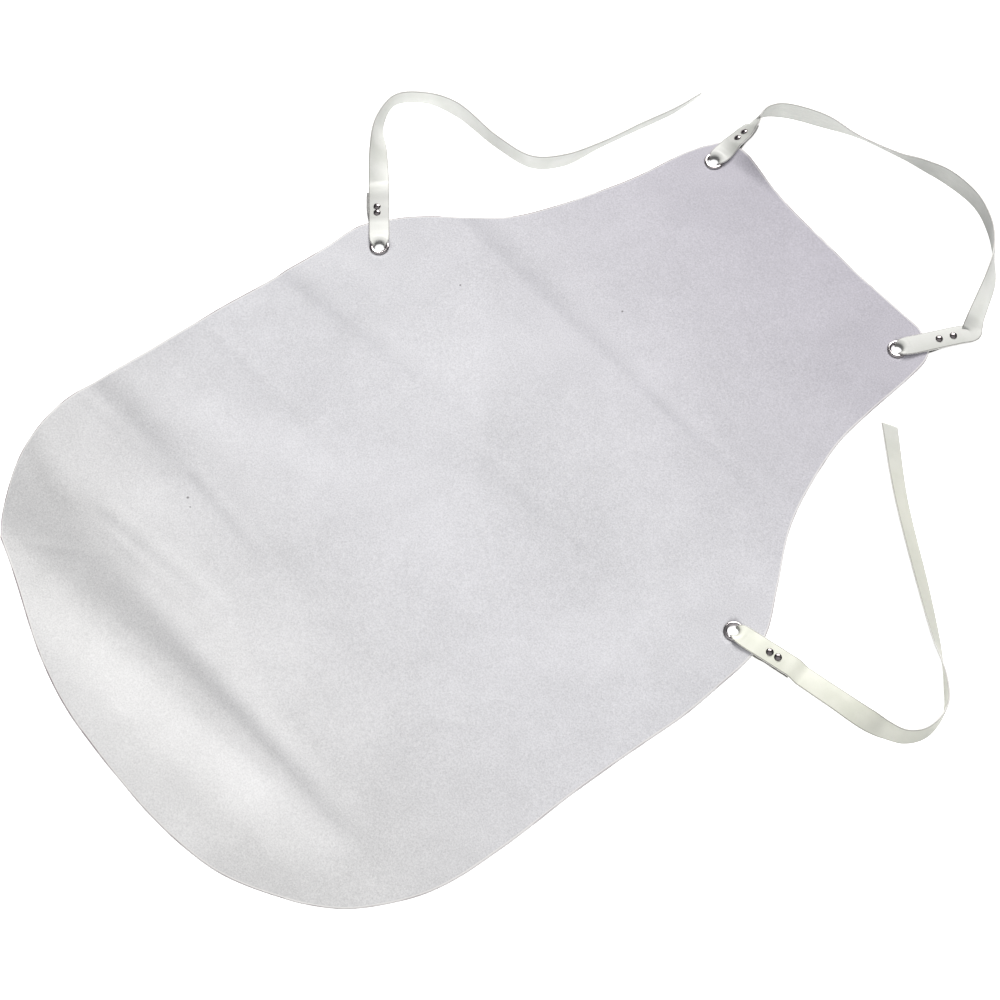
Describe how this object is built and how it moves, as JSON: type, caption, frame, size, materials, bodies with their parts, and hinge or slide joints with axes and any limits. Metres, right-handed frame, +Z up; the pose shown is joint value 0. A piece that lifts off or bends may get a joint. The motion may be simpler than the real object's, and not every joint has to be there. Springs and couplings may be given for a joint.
{
  "type": "leather welding apron",
  "caption": "One-piece leather welding apron lying face up, with a bib, armhole cut-ins, a rounded hem, and neck and waist straps riveted through metal eyelets.",
  "frame": {"origin": "point of the panel's underside on the centre line, midway between bib and hem, on the surface it lies on", "axes": "+X across the apron to its right as it lies face up with the bib away, +Y from hem to bib, +Z up out of the face"},
  "size_m": [0.8798, 1.0529, 0.0211],
  "materials": {
    "apron_leather": "matt split leather, pale lavender grey",
    "strap_leather": "smooth off-white leather",
    "nickel": "bright nickel plate"
  },
  "bodies": {
    "root": {"apron_body": "apron_leather", "neck_strap": "strap_leather", "left_waist_tie": "strap_leather", "right_waist_tie": "strap_leather", "eyelet_bib_left": "nickel", "eyelet_bib_right": "nickel", "eyelet_waist_left": "nickel", "eyelet_waist_right": "nickel", "rivet_bib_left_inner": "nickel", "rivet_bib_left_outer": "nickel", "rivet_bib_right_inner": "nickel", "rivet_bib_right_outer": "nickel", "rivet_waist_left_inner": "nickel", "rivet_waist_left_outer": "nickel", "rivet_waist_right_inner": "nickel", "rivet_waist_right_outer": "nickel"}
  },
  "joints": []
}
